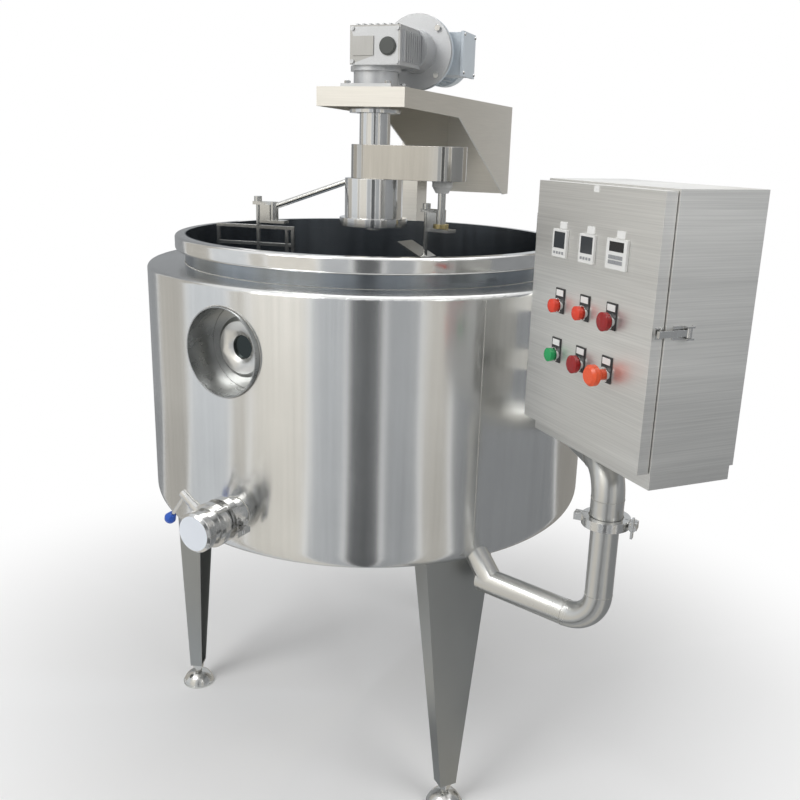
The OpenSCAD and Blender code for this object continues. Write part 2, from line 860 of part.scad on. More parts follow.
module gearbox() {
    color("lightgray") bracket_frame() difference() {
        union() {
            translate([-70, -70, bracket_z]) cube([140, 140, 10]);
            translate([0, 0, bracket_z + 10]) cylinder(h = gear_low - bracket_z - 10, r = 58);
            translate([0, 0, gear_low - 12]) cylinder(h = 12, r = 66);
            translate([-72, -93, gear_low]) cube([150, 136, gear_top - gear_low]);
            for (x = [-52 : 16 : 60]) translate([x, -99, gear_low + 10])
                cube([5, 8, gear_top - gear_low - 20]);
            for (y = [-80 : 18 : 30]) translate([-60, y, gear_top - 1]) cube([126, 5, 6]);
            translate([70, worm_y, motor_z]) rotate([0, 90, 0]) cylinder(h = flange_x - 69, r = 56);
            translate([flange_x, worm_y, motor_z]) rotate([0, 90, 0]) cylinder(h = flange_t, r = flange_r);
            translate([-75, -22, gear_low + 22]) cube([5, 56, 46]);
            for (y = [-86, 36], z = [gear_low + 8, gear_top - 8])
                translate([-76, y, z]) rotate([0, 90, 0]) cylinder(h = 6, r = 5);
        }
        translate([0, 0, bracket_z - 1]) cylinder(h = 84, r = shaft_r + run_gap);
        for (p = gear_bolts) translate([p[0], p[1], bracket_z - 1]) cylinder(h = 12, r = 5);
        flange_spots() translate([0, 0, flange_x - 1]) cylinder(h = flange_t + 2, r = 5);
    }
}

module flange_spots() {
    for (k = [45 : 90 : 315]) translate([0, worm_y, motor_z]) rotate([k, 0, 0])
        translate([0, flange_r - 14, 0]) rotate([0, 90, 0]) children();
}

module gearbox_cover() {
    color("dimgray") bracket_frame() translate([-76, worm_y, motor_z - 6]) rotate([0, 90, 0]) {
        cylinder(h = 4, r = 22);
        translate([0, 0, -2]) cylinder(h = 2, r = 19);
    }
}

module motor_body() {
    color("lightslategray") bracket_frame() difference() {
        union() {
            translate([flange_x + flange_t, worm_y, motor_z]) rotate([0, 90, 0])
                cylinder(h = flange_t, r = flange_r);
            translate([motor_x - 1, worm_y, motor_z]) rotate([0, 90, 0])
                cylinder(h = motor_l + 1, r = motor_r - 8);
            for (k = [0 : 12 : 359]) translate([motor_x + 12, worm_y, motor_z]) rotate([k, 0, 0])
                translate([0, motor_r - 9, -1.5]) cube([motor_l - 24, 9, 3]);
            translate([motor_x + 25, worm_y - motor_r - 2, motor_z - 55]) cube([110, 30, 110]);
        }
        flange_spots() translate([0, 0, flange_x + flange_t - 1]) cylinder(h = flange_t + 2, r = 5);
    }
}

module fan_cover() {
    color("slategray") bracket_frame() translate([motor_x + motor_l, worm_y, motor_z]) rotate([0, 90, 0])
        difference() {
            union() {
                cylinder(h = fan_l - 8, r = motor_r + 3);
                translate([0, 0, fan_l - 8]) cylinder(h = 8, r1 = motor_r + 3, r2 = motor_r - 8);
            }
            translate([0, 0, 6]) cylinder(h = fan_l - 9, r = motor_r - 10);
            for (k = [0 : 30 : 330], r = [22, 38, 52]) rotate([0, 0, k]) translate([r, 0, 0])
                translate([0, 0, fan_l - 10]) cylinder(h = 20, r = 4);
        }
}

module terminal_box() {
    color("slategray") bracket_frame() translate([motor_x + 25, worm_y - motor_r - 42, motor_z - 55])
        difference() {
            union() {
                cube([110, 40, 110]);
                translate([-3, -4, -3]) cube([116, 8, 116]);
            }
            translate([6, 4, 6]) cube([98, 37, 98]);
        }
}

module drive_bolts() {
    color("dimgray") bracket_frame() {
        for (p = gear_bolts) translate([p[0], p[1], bracket_z - plate_t - 8]) {
            cylinder(h = 26 + plate_t, r = 5);
            translate([0, 0, 8 + plate_t + 10]) cylinder(h = 7, r = 8.5, $fn = 6);
            cylinder(h = 8, r = 8.5, $fn = 6);
        }
        flange_spots() translate([0, 0, flange_x - 8]) {
            cylinder(h = 2 * flange_t + 16, r = 5);
            cylinder(h = 8, r = 8.5, $fn = 6);
            translate([0, 0, 2 * flange_t + 8]) cylinder(h = 8, r = 8.5, $fn = 6);
        }
    }
}

module sleeve() {
    color("gainsboro") difference() {
        union() {
            translate([0, 0, case_top - 30]) cylinder(h = bracket_z - plate_t - case_top + 30, r = sleeve_r);
            translate([0, 0, bracket_z - plate_t - 12]) cylinder(h = 12, r = sleeve_r + 8);
        }
        cylinder(h = 3000, r = shaft_r + 5);
    }
}

module main_shaft() {
    color("lightgray") translate([0, 0, skirt_low - skirt_flange_h - 12])
        cylinder(h = bracket_z + 80 - skirt_low + skirt_flange_h + 12, r = shaft_r);
}

module head() {
    rotate([0, 0, case_az]) children();
}

module case_block(inset, z0, z1) {
    translate([0, 0, z0]) cylinder(h = z1 - z0, r = case_r - inset);
    translate([planet_d, 0, z0]) cylinder(h = z1 - z0, r = case_r - inset);
    translate([0, -case_r + inset, z0]) cube([planet_d, 2 * (case_r - inset), z1 - z0]);
}

module gear_case() {
    color("gainsboro") head() difference() {
        case_block(0, case_low, case_top);
        case_block(case_t, case_low - 1, case_top - case_t);
        cylinder(h = 3000, r = sleeve_r + free_gap);
    }
}

module case_floor() {
    color("silver") head() difference() {
        union() {
            case_block(case_t, case_low, case_low + 6);
            translate([planet_d, 0, case_low]) cylinder(h = 40, r = 26);
        }
        cylinder(h = 3000, r = shaft_r);
        translate([planet_d, 0, 0]) cylinder(h = 3000, r = planet_r + run_gap);
    }
}

module head_skirt() {
    color("gainsboro") head() difference() {
        union() {
            translate([0, 0, skirt_low]) cylinder(h = skirt_h, r = skirt_r);
            translate([0, 0, skirt_low - skirt_flange_h]) cylinder(h = skirt_flange_h, r = skirt_flange_r);
        }
        translate([0, 0, skirt_low + 3]) cylinder(h = skirt_h - 6, r = skirt_r - sheet);
        translate([0, 0, skirt_low - skirt_flange_h + 4])
            cylinder(h = skirt_flange_h - 8, r = skirt_flange_r - 4);
        cylinder(h = 3000, r = shaft_r);
    }
}

module rod_arm() {
    run = arm_d - skirt_r;
    drop = case_low - 12 - holder_top + 14;
    color("silver") head() difference() {
        translate([-arm_d, 0, holder_top - 14]) rotate([0, atan2(run, drop), 0])
            cylinder(h = norm([run, drop]) + 20, r = rod_r);
        cylinder(h = 3000, r = skirt_r);
        translate([-arm_d, 0, 0]) cylinder(h = 3000, r = 13);
    }
}

module tool_holder() {
    difference() {
        union() {
            translate([0, 0, holder_low]) cylinder(h = holder_top - holder_low, r = 13);
            translate([-holder_reach - 12, -11, holder_top - 9]) cube([holder_reach + 12, 22, 9]);
            translate([-36, -15, holder_low + 8]) cube([30, 30, holder_top - holder_low - 16]);
            translate([-36, -17, holder_low]) cube([74, 34, 8]);
        }
        translate([-holder_reach, 0, 0]) cylinder(h = 3000, r = 6);
    }
}

module left_holder() {
    color("lightgray") head() translate([-arm_d, 0, 0]) tool_holder();
}

module harp_bar(x0, x1, z) {
    translate([x0, -bar / 2, z - bar]) cube([x1 - x0, bar, bar]);
}

module harp_frame() {
    outer = harp_clear - vessel_r;
    inner = -arm_d + 62;
    color("silver") head() {
        translate([-arm_d - holder_reach, 0, harp_top - 2]) cylinder(h = holder_top + 14 - harp_top, r = 6);
        translate([-arm_d - holder_reach, 0, holder_top]) cylinder(h = 14, r = 11);
        for (z = [harp_top, harp_top - 48, (harp_top + tool_low) / 2, tool_low + bar])
            harp_bar(outer, inner, z);
        for (x = [outer, -arm_d - holder_reach - bar / 2, -arm_d + 35, inner - bar])
            translate([x, -bar / 2, tool_low]) cube([bar, bar, harp_top - tool_low]);
    }
}

module planet_shaft() {
    color("lightgray") head() translate([planet_d, 0, 0]) {
        translate([0, 0, holder_low + 10]) cylinder(h = case_low + 62 - holder_low - 10, r = planet_r);
        translate([0, 0, case_low + 40 + free_gap]) cylinder(h = 6, r = 22);
    }
}

module planet_nut() {
    color("white") head() translate([planet_d, 0, 0]) difference() {
        union() {
            translate([0, 0, case_low - 16]) cylinder(h = 16 - free_gap, r = 27);
            translate([0, 0, case_low - 32]) cylinder(h = 16, r1 = 17, r2 = 26);
        }
        cylinder(h = 3000, r = planet_r);
    }
}

module right_holder() {
    color("lightgray") head() translate([planet_d, 0, 0]) rotate([0, 0, -20]) difference() {
        tool_holder();
        cylinder(h = 3000, r = planet_r);
    }
}

module stirrer() {
    reach = -holder_reach;
    color("silver") head() translate([planet_d, 0, 0]) rotate([0, 0, -20]) {
        translate([reach, 0, tool_low]) cylinder(h = holder_top + 14 - tool_low, r = 6);
        translate([reach, 0, holder_top]) cylinder(h = 14, r = 11);
        translate([reach, 0, harp_top - 60]) rotate([0, 24, 0]) translate([-78, -34, 0]) cube([90, 68, 4]);
        translate([reach, -4, tool_low]) cube([140, 8, 8]);
        for (z = [tool_low, tool_low + 220]) translate([reach, 0, z]) rotate([35, 0, 0])
            translate([-70, -2, 0]) cube([210, 4, 70]);
    }
}

inner_vessel();
outer_jacket();
rim_ring();
port_cup();
port_boss();
port_glass();
legs();
feet();
outlet_stub();
valve_body();
valve_disc();
valve_handle();
valve_knob();
outlet_cap();
clamp_rings();
wing_nuts();
tube_gaskets();
loop_lower();
loop_upper();
cabinet_body();
cabinet_plinth();
cabinet_arms();
mounting_plate();
cabinet_door();
hinge_fixed();
hinge_moving();
latch_base();
latch_lever();
latch_keeper();
display_cases();
display_windows();
name_plates();
button_holders();
button_red_1();
button_red_2();
lamp_red();
button_green();
button_stop();
estop_button();
drive_post();
post_arms();
drive_bracket();
gearbox();
gearbox_cover();
motor_body();
fan_cover();
terminal_box();
drive_bolts();
sleeve();
main_shaft();
gear_case();
case_floor();
head_skirt();
rod_arm();
left_holder();
harp_frame();
planet_shaft();
planet_nut();
right_holder();
stirrer();
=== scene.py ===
"""Looks of a jacketed cheese vat with an overhead stirrer drive and a control cabinet."""

import json
import math

import bmesh
import bpy
from mathutils import Matrix, Vector


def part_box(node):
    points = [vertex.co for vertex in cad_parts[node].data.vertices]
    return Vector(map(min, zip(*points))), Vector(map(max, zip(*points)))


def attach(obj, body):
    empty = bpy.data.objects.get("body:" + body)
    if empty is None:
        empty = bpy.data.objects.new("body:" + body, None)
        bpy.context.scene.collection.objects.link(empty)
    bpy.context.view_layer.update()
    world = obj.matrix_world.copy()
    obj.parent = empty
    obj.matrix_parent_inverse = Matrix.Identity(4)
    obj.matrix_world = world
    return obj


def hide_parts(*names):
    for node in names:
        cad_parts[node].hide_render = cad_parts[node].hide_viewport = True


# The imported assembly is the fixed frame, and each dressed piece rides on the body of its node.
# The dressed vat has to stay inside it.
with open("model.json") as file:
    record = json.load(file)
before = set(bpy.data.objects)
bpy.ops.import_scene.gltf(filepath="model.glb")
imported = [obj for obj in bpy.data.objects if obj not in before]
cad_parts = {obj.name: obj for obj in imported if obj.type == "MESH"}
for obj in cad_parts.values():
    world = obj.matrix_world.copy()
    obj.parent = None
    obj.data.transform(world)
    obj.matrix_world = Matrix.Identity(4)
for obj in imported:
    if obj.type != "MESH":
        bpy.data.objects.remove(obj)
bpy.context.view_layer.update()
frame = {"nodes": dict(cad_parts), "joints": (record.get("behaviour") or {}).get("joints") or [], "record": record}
body_of_node = {n: b for b, ns in frame["record"]["behaviour"]["bodies"].items() for n in ns}

# The viewpoint is a standing person's, a little right of the vat's middle and looking down into it.
# The camera was held slightly tilted, so the picture's right side sits lower.
camera_place = Vector((0.2724, -2.4611, 1.6812))
look_down = math.radians(16.02)
look_turn = math.atan2(-0.0752, 0.9972)
camera_roll = 0.028
level_right = Vector((math.cos(look_turn), -math.sin(look_turn), 0))
ahead = Vector((math.sin(look_turn) * math.cos(look_down), math.cos(look_turn) * math.cos(look_down),
                -math.sin(look_down)))
level_up = level_right.cross(ahead)
camera_right = math.cos(camera_roll) * level_right + math.sin(camera_roll) * level_up
camera_up = math.cos(camera_roll) * level_up - math.sin(camera_roll) * level_right
camera_data = bpy.data.cameras.new("standing_view")
camera_data.sensor_width = 36
camera_data.lens = 40.16
camera = bpy.data.objects.new("standing_view", camera_data)
camera.matrix_world = Matrix.Translation(camera_place) @ Matrix(
    (camera_right, camera_up, -ahead)).transposed().to_4x4()
bpy.context.scene.collection.objects.link(camera)
bpy.context.scene.camera = camera


# The milk vessel is a deep-drawn pot of thin stainless sheet, polished inside.
# A folded band of the same sheet is welded round its rim and stiffens it.
def steel(name, tone, rough, streak=(6, 6, 6), wander=0.08, tint=0.12, bump=0.02, anisotropy=0.0,
          drift=(5, 5, 5)):
    finish = bpy.data.materials.new(name)
    finish.use_nodes = True
    nodes, links = finish.node_tree.nodes, finish.node_tree.links
    shader = nodes["Principled BSDF"]
    shader.inputs["Metallic"].default_value = 1.0
    shader.inputs["Anisotropic"].default_value = anisotropy
    shader.inputs["Anisotropic Rotation"].default_value = 0.25
    place = nodes.new("ShaderNodeTexCoord")
    stretch = nodes.new("ShaderNodeMapping")
    stretch.inputs["Scale"].default_value = streak
    links.new(place.outputs["Object"], stretch.inputs["Vector"])
    grain = nodes.new("ShaderNodeTexNoise")
    grain.inputs["Scale"].default_value = 1.0
    grain.inputs["Detail"].default_value = 4.0
    links.new(stretch.outputs["Vector"], grain.inputs["Vector"])
    spread = nodes.new("ShaderNodeMapping")
    spread.inputs["Scale"].default_value = drift
    links.new(place.outputs["Object"], spread.inputs["Vector"])
    cloud = nodes.new("ShaderNodeTexNoise")
    cloud.inputs["Scale"].default_value = 1.0
    cloud.inputs["Detail"].default_value = 3.0
    links.new(spread.outputs["Vector"], cloud.inputs["Vector"])
    colour = nodes.new("ShaderNodeValToRGB")
    dark = [c * (1 - tint) for c in tone]
    colour.color_ramp.elements[0].position = 0.3
    colour.color_ramp.elements[1].position = 0.7
    colour.color_ramp.elements[0].color = (*dark, 1)
    colour.color_ramp.elements[1].color = (*tone, 1)
    both = nodes.new("ShaderNodeMath")
    both.operation = "MULTIPLY_ADD"
    both.inputs[1].default_value = 0.5
    links.new(grain.outputs["Fac"], both.inputs[0])
    half = nodes.new("ShaderNodeMath")
    half.operation = "MULTIPLY"
    half.inputs[1].default_value = 0.5
    links.new(cloud.outputs["Fac"], half.inputs[0])
    links.new(half.outputs[0], both.inputs[2])
    links.new(both.outputs[0], colour.inputs["Fac"])
    links.new(colour.outputs["Color"], shader.inputs["Base Color"])
    polish = nodes.new("ShaderNodeMapRange")
    polish.inputs["To Min"].default_value = rough - wander
    polish.inputs["To Max"].default_value = rough + wander
    links.new(both.outputs[0], polish.inputs["Value"])
    links.new(polish.outputs["Result"], shader.inputs["Roughness"])
    relief = nodes.new("ShaderNodeBump")
    relief.inputs["Strength"].default_value = bump
    relief.inputs["Distance"].default_value = 0.001
    links.new(grain.outputs["Fac"], relief.inputs["Height"])
    links.new(relief.outputs["Normal"], shader.inputs["Normal"])
    if anisotropy:
        round_axis = nodes.new("ShaderNodeTangent")
        round_axis.direction_type = "RADIAL"
        round_axis.axis = "Z"
        links.new(round_axis.outputs["Tangent"], shader.inputs["Tangent"])
    return finish


def settle(piece):
    made = bpy.data.meshes.new_from_object(piece.evaluated_get(bpy.context.evaluated_depsgraph_get()))
    piece.modifiers.clear()
    piece.data = made


def fasten(piece, body):
    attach(piece, body)


def true_round(mesh):
    same_bend = 0.2
    rings = {}
    corners = []
    for loop, corner in zip(mesh.loops, mesh.corner_normals):
        spot, normal = mesh.vertices[loop.vertex_index].co, corner.vector
        out = Vector((spot.x, spot.y, 0)).normalized()
        rise = math.atan2(normal.z, normal.dot(out))
        ring = (round(spot.xy.length, 4), round(spot.z, 4))
        sideways = abs(normal.x * out.y - normal.y * out.x)
        corners.append((normal.copy(), out, rise, ring, sideways < same_bend))
        if sideways < same_bend:
            rings.setdefault(ring, []).append(rise)
    smoothed = {}
    for ring, rises in rings.items():
        group = []
        for rise in sorted(rises):
            if group and rise - group[-1] > same_bend:
                smoothed.update({(ring, g): sum(group) / len(group) for g in group})
                group = []
            group.append(rise)
        smoothed.update({(ring, g): sum(group) / len(group) for g in group})
    normals = []
    for normal, out, rise, ring, turned in corners:
        if turned:
            level = smoothed[(ring, rise)]
            normal = out * math.cos(level) + Vector((0, 0, math.sin(level)))
        normals.append(normal)
    mesh.normals_split_custom_set(normals)


def dress(node, finish, edge=0.0006, crease=35, inlay=None, inlay_test=None, turned=False):
    source = frame["nodes"][node]
    shell = bmesh.new()
    shell.from_mesh(source.data)
    bmesh.ops.remove_doubles(shell, verts=shell.verts, dist=2e-6)
    if not turned:
        bmesh.ops.dissolve_limit(shell, angle_limit=math.radians(0.5), verts=shell.verts, edges=shell.edges)
    for line in shell.edges:
        line.smooth = line.is_manifold and line.calc_face_angle(0) < math.radians(crease)
    for face in shell.faces:
        face.smooth = True
        if inlay and inlay_test(face):
            face.material_index = 1
    mesh = bpy.data.meshes.new(node + "_dressed")
    shell.to_mesh(mesh)
    shell.free()
    mesh.materials.append(finish)
    if inlay:
        mesh.materials.append(inlay)
    if turned:
        true_round(mesh)
    piece = bpy.data.objects.new(node + "_dressed", mesh)
    bpy.context.scene.collection.objects.link(piece)
    if edge:
        round_off = piece.modifiers.new("rounded edges", "BEVEL")
        round_off.width = edge
        round_off.segments = 2
        round_off.limit_method = "ANGLE"
        round_off.angle_limit = math.radians(crease)
        round_off.harden_normals = True
        settle(piece)
    fasten(piece, body_of_node[node])
    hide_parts(node)


def lathe(name, centre, outline, finish, steps=96, crease=35):
    count = len(outline)
    points, faces = [], []
    for k in range(steps):
        turn = 2 * math.pi * k / steps
        points += [(centre.x + r * math.cos(turn), centre.y + r * math.sin(turn), z) for r, z in outline]
        here, there = count * k, count * ((k + 1) % steps)
        faces += [(here + i, there + i, there + (i + 1) % count, here + (i + 1) % count)
                  for i in range(count)]
    mesh = bpy.data.meshes.new(name)
    mesh.from_pydata(points, [], faces)
    mesh.materials.append(finish)
    mesh.shade_smooth()
    mesh.set_sharp_from_angle(angle=math.radians(crease))
    piece = bpy.data.objects.new(name, mesh)
    bpy.context.scene.collection.objects.link(piece)
    return piece


# Painted shade: the polished vessel is given a dark bluish tone for the shade inside the deep pot.
vessel_steel_painted_shade = steel("vessel steel painted shade", (0.33, 0.36, 0.39), rough=0.22, streak=(40, 40, 4), tint=0.2)
rim_steel = steel("rim steel", (0.80, 0.80, 0.79), rough=0.14, streak=(30, 30, 60), wander=0.05)
dress("inner_vessel", vessel_steel_painted_shade)
vessel_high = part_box("inner_vessel")[1]
rim_low, rim_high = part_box("rim_ring")
rim_round = 0.008
rim_bend_x = rim_high.x - rim_round
rim_outline = [(vessel_high.x, rim_high.z), (vessel_high.x, rim_low.z)]
for middle, first in ((rim_low.z + rim_round, -90), (rim_high.z - rim_round, 0)):
    for k in range(11):
        turn = math.radians(first + 9 * k)
        rim_outline.append((rim_bend_x + rim_round * math.cos(turn), middle + rim_round * math.sin(turn)))
rim = lathe("rim_ring_dressed", Vector((0, 0)), rim_outline, rim_steel, steps=240)
fasten(rim, body_of_node["rim_ring"])
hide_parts("rim_ring")

# The heating jacket is rolled from one mirror-polished sheet and welded down its height.
# Its lower edge is pressed to a bend and its shoulder is a flat ring.
jacket_steel = steel("jacket steel", (0.78, 0.785, 0.78), rough=0.21, streak=(60, 60, 1.5), wander=0.05,
                     bump=0.03, anisotropy=0.8)
dress("outer_jacket", jacket_steel, edge=0, turned=True)


def plan(name, inputs):
    tree = bpy.data.node_groups.new(name, "GeometryNodeTree")
    for socket, kind in inputs:
        tree.interface.new_socket(socket, in_out="INPUT", socket_type="NodeSocket" + kind)
    tree.interface.new_socket("Result", in_out="OUTPUT", socket_type="NodeSocketGeometry")
    return tree, tree.nodes, tree.links, tree.nodes.new("NodeGroupInput")


def lay_out(tree, given, spots, pattern):
    nodes, links = tree.nodes, tree.links
    lay = nodes.new("GeometryNodeInstanceOnPoints")
    links.new(spots, lay.inputs["Points"])
    links.new(pattern, lay.inputs["Instance"])
    real = nodes.new("GeometryNodeRealizeInstances")
    links.new(lay.outputs["Instances"], real.inputs["Geometry"])
    coat = nodes.new("GeometryNodeSetMaterial")
    links.new(real.outputs["Geometry"], coat.inputs["Geometry"])
    links.new(given.outputs["Finish"], coat.inputs["Material"])
    result = nodes.new("NodeGroupOutput")
    links.new(coat.outputs["Geometry"], result.inputs["Result"])
    return tree


def weld_ripples():
    tree, nodes, links, given = plan("weld ripples", (
        ("Path", "Geometry"), ("Ripple pitch", "Float"), ("Bead radius", "Float"), ("Finish", "Material")))
    route = nodes.new("GeometryNodeMeshToCurve")
    links.new(given.outputs["Path"], route.inputs["Mesh"])
    drops = nodes.new("GeometryNodeCurveToPoints")
    drops.mode = "LENGTH"
    links.new(route.outputs["Curve"], drops.inputs["Curve"])
    links.new(given.outputs["Ripple pitch"], drops.inputs["Length"])
    ripple = nodes.new("GeometryNodeMeshIcoSphere")
    ripple.inputs["Subdivisions"].default_value = 2
    links.new(given.outputs["Bead radius"], ripple.inputs["Radius"])
    soft = nodes.new("GeometryNodeSetShadeSmooth")
    soft.inputs["Shade Smooth"].default_value = True
    links.new(ripple.outputs["Mesh"], soft.inputs["Geometry"])
    return lay_out(tree, given, drops.outputs["Points"], soft.outputs["Geometry"])


def grow(name, points, edges, tree, settings, body, place=Matrix()):
    mesh = bpy.data.meshes.new(name)
    mesh.from_pydata(points, edges, [])
    piece = bpy.data.objects.new(name, mesh)
    bpy.context.scene.collection.objects.link(piece)
    maker = piece.modifiers.new(tree.name, "NODES")
    maker.node_group = tree
    for socket in tree.interface.items_tree:
        if socket.name in settings:
            maker[socket.identifier] = settings[socket.name]
    settle(piece)
    piece.data.transform(place)
    fasten(piece, body)


weld_steel = steel("weld steel", (0.60, 0.59, 0.56), rough=0.3, streak=(200, 200, 200), wander=0.1,
                   tint=0.25, bump=0.1)
weld_tree = weld_ripples()


def weld(name, paths, pitch, radius):
    points, edges = [], []
    for path, closed in paths:
        first = len(points)
        points += path
        edges += [(first + k, first + k + 1) for k in range(len(path) - 1)]
        if closed:
            edges.append((len(points) - 1, first))
    settings = {"Ripple pitch": pitch, "Bead radius": radius, "Finish": weld_steel}
    grow(name, points, edges, weld_tree, settings, "vat")


def level_ring(radius, height, steps=120):
    turns = (2 * math.pi * k / steps for k in range(steps))
    return [(radius * math.cos(t), radius * math.sin(t), height) for t in turns]


jacket_low, jacket_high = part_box("outer_jacket")
jacket_r = jacket_high.x
seam_turn = math.radians(-59)
seam_spot = (jacket_r * math.cos(seam_turn), jacket_r * math.sin(seam_turn))
seam_above_edge, seam_below_top = 0.058, 0.014
seam_line = [(*seam_spot, jacket_low.z + seam_above_edge), (*seam_spot, jacket_high.z - seam_below_top)]
neck_gap = 0.0006
neck_line = level_ring(vessel_high.x + neck_gap, jacket_high.z)
weld("jacket_welds", [(seam_line, False), (neck_line, True)], pitch=0.0035, radius=0.0015)

# The port is a deep cup of sheet let into the jacket and welded round its mouth.
# A turned boss with a dark glass is fixed at its bottom.
port_steel = steel("port steel", (0.42, 0.43, 0.43), rough=0.28, streak=(50, 50, 50), wander=0.06)
boss_steel = steel("boss steel", (0.80, 0.80, 0.78), rough=0.3, streak=(90, 90, 90), wander=0.06)
dress("port_cup", port_steel)
dress("port_boss", boss_steel, edge=0.001)


def ring_on_jacket(turn, height, radius, steps=90):
    out = Vector((math.cos(turn), math.sin(turn), 0))
    across = Vector((-out.y, out.x, 0))
    ring = []
    for k in range(steps):
        side = radius * math.cos(2 * math.pi * k / steps)
        rise = radius * math.sin(2 * math.pi * k / steps)
        reach = math.sqrt(jacket_r ** 2 - side ** 2)
        ring.append(out * reach + across * side + Vector((0, 0, height + rise)))
    return ring


port_turn = math.radians(-117.8)
port_low, port_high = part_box("port_cup")
port_height = (port_low.z + port_high.z) / 2
mouth_gap = 0.001
port_mouth = ring_on_jacket(port_turn, port_height, port_high.z - port_height + mouth_gap)
weld("port_weld", [(port_mouth, True)], pitch=0.003, radius=0.0016)
port_dark = steel("port glass", (0.05, 0.06, 0.06), rough=0.12, streak=(20, 20, 20), wander=0.03)
dress("port_glass", port_dark)

# Each leg is a tapered channel of thick sheet, folded on both long sides and left satin.
# The feet are turned domes on a threaded stem.
leg_steel = steel("leg steel", (0.40, 0.41, 0.405), rough=0.42, streak=(9, 9, 3), wander=0.06)
foot_steel = steel("foot steel", (0.68, 0.68, 0.66), rough=0.22, streak=(40, 40, 40))
dress("legs", leg_steel, edge=0.0012)
dress("feet", foot_steel, edge=0.0008)

# The drain is a tube welded into the jacket, with a butterfly valve of polished castings clamped to it.
# A ring with a pale moulded face closes its end, and the lever ends in a blue moulded knob.
pipe_steel = steel("pipe steel", (0.68, 0.68, 0.66), rough=0.28, streak=(9, 9, 9), wander=0.03,
                   tint=0.08, bump=0.0)
fitting_steel = steel("fitting steel", (0.74, 0.74, 0.73), rough=0.18, streak=(60, 60, 60), wander=0.06)
for node in ("outlet_stub", "valve_body", "valve_disc", "valve_handle", "clamp_rings", "wing_nuts"):
    dress(node, fitting_steel)
drain_turn = math.radians(-115)
drain_height = next(j for j in frame["joints"] if j["name"] == "valve_turn")["pos_m"][2]
drain_weld_r = 0.0385
drain_mouth = ring_on_jacket(drain_turn, drain_height, drain_weld_r, steps=48)
weld("drain_weld", [(drain_mouth, True)], pitch=0.0025, radius=0.0014)


def moulded(name, tone, rough, tint=0.06, grain=900, bump=0.05):
    finish = steel(name, tone, rough=rough, streak=(grain, grain, grain), wander=0.05, tint=tint,
                   bump=bump)
    finish.node_tree.nodes["Principled BSDF"].inputs["Metallic"].default_value = 0.0
    return finish


pale_moulding = moulded("pale moulding", (0.74, 0.78, 0.84), rough=0.35)
blue_moulding = moulded("blue moulding", (0.02, 0.10, 0.50), rough=0.3)
seal_white = moulded("seal white", (0.8, 0.8, 0.78), rough=0.5)
drain_out = Vector((math.cos(drain_turn), math.sin(drain_turn), 0))
straight_on = 0.9
dress("outlet_cap", fitting_steel, edge=0.001, crease=20, inlay=pale_moulding,
      inlay_test=lambda face: face.normal.dot(drain_out) > straight_on)
dress("valve_knob", blue_moulding, edge=0.0015)
dress("tube_gaskets", seal_white, edge=0)

# The water loop is thin stainless tube, bent and joined by ring welds that were left as they are.
# A clamp with a wing nut holds its two halves together, so that the lower one can be taken off.
for node in ("loop_lower", "loop_upper"):
    dress(node, pipe_steel, edge=0)
loop_place = Vector((0.582, -0.684, 0))
loop_run_turn = math.radians(143.2)
loop_branch_turn = math.radians(103.2)


def upright_ring(along_turn, along, height, radius, steps=40):
    along_way = Vector((math.cos(along_turn), math.sin(along_turn), 0))
    side_way = Vector((-along_way.y, along_way.x, 0))
    middle = loop_place + along_way * along + Vector((0, 0, height))
    turns = (2 * math.pi * k / steps for k in range(steps))
    return [middle + side_way * radius * math.cos(t) + Vector((0, 0, radius * math.sin(t))) for t in turns]


lower_r, upper_r = 0.030, 0.035
lower_end, upper_end = 0.755, 0.978
run_along, run_height = 0.075, 0.680
branch_along, branch_height = 0.070, 1.048
loop_rings = [[Vector(p) + loop_place for p in level_ring(radius, height, steps=40)]
              for radius, height in ((lower_r, lower_end), (upper_r, upper_end))]
loop_rings.append(upright_ring(loop_run_turn, run_along, run_height, lower_r))
loop_rings.append(upright_ring(loop_branch_turn, branch_along, branch_height, upper_r))
weld("loop_welds", [(ring, True) for ring in loop_rings], pitch=0.002, radius=0.0009)

# The cabinet is folded from brushed stainless sheet with the grain running level.
# It stands off the jacket on two welded arms, and its door hangs on hinges and shuts with a toggle latch.
cabinet_steel = steel("cabinet steel", (0.91, 0.905, 0.88), rough=0.4, streak=(4, 4, 400), tint=0.24,
                      bump=0.05, drift=(0.9, 0.9, 9))
for node in ("cabinet_body", "cabinet_plinth", "cabinet_arms", "mounting_plate", "cabinet_door"):
    dress(node, cabinet_steel, edge=0.0008)
for node in ("hinge_fixed", "hinge_moving", "latch_base", "latch_lever", "latch_keeper"):
    dress(node, fitting_steel, edge=0.0004)

# The panel carries snap-in instruments in white mouldings with dark windows, and bare white plates.
# Below them are two rows of push buttons with silver rings, each in a black moulded holder.
instrument_white = moulded("instrument white", (0.78, 0.78, 0.76), rough=0.4)
holder_black = moulded("holder black", (0.025, 0.025, 0.027), rough=0.4)
window_black = moulded("window black", (0.012, 0.012, 0.014), rough=0.12, bump=0.0)
plate_white = moulded("plate white", (0.82, 0.82, 0.80), rough=0.45)
inward = Vector(next(j for j in frame["joints"] if j["name"] == "red_1_press")["axis"])
door_low, door_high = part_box("cabinet_door")
door_middle = (door_low + door_high) / 2
door_half = 0.012
panel_face = Matrix((Vector((inward.y, -inward.x, 0)), Vector((0, 0, 1)), -inward)).transposed().to_4x4()
panel_face.translation = door_middle - inward * door_half
ring_step = 0.0026
last_meter_side = 0.04


def stands_off(face):
    return (panel_face.translation - face.calc_center_median()).dot(inward) > ring_step


def on_meter(face):
    return (panel_face.inverted() @ face.calc_center_median()).x < last_meter_side


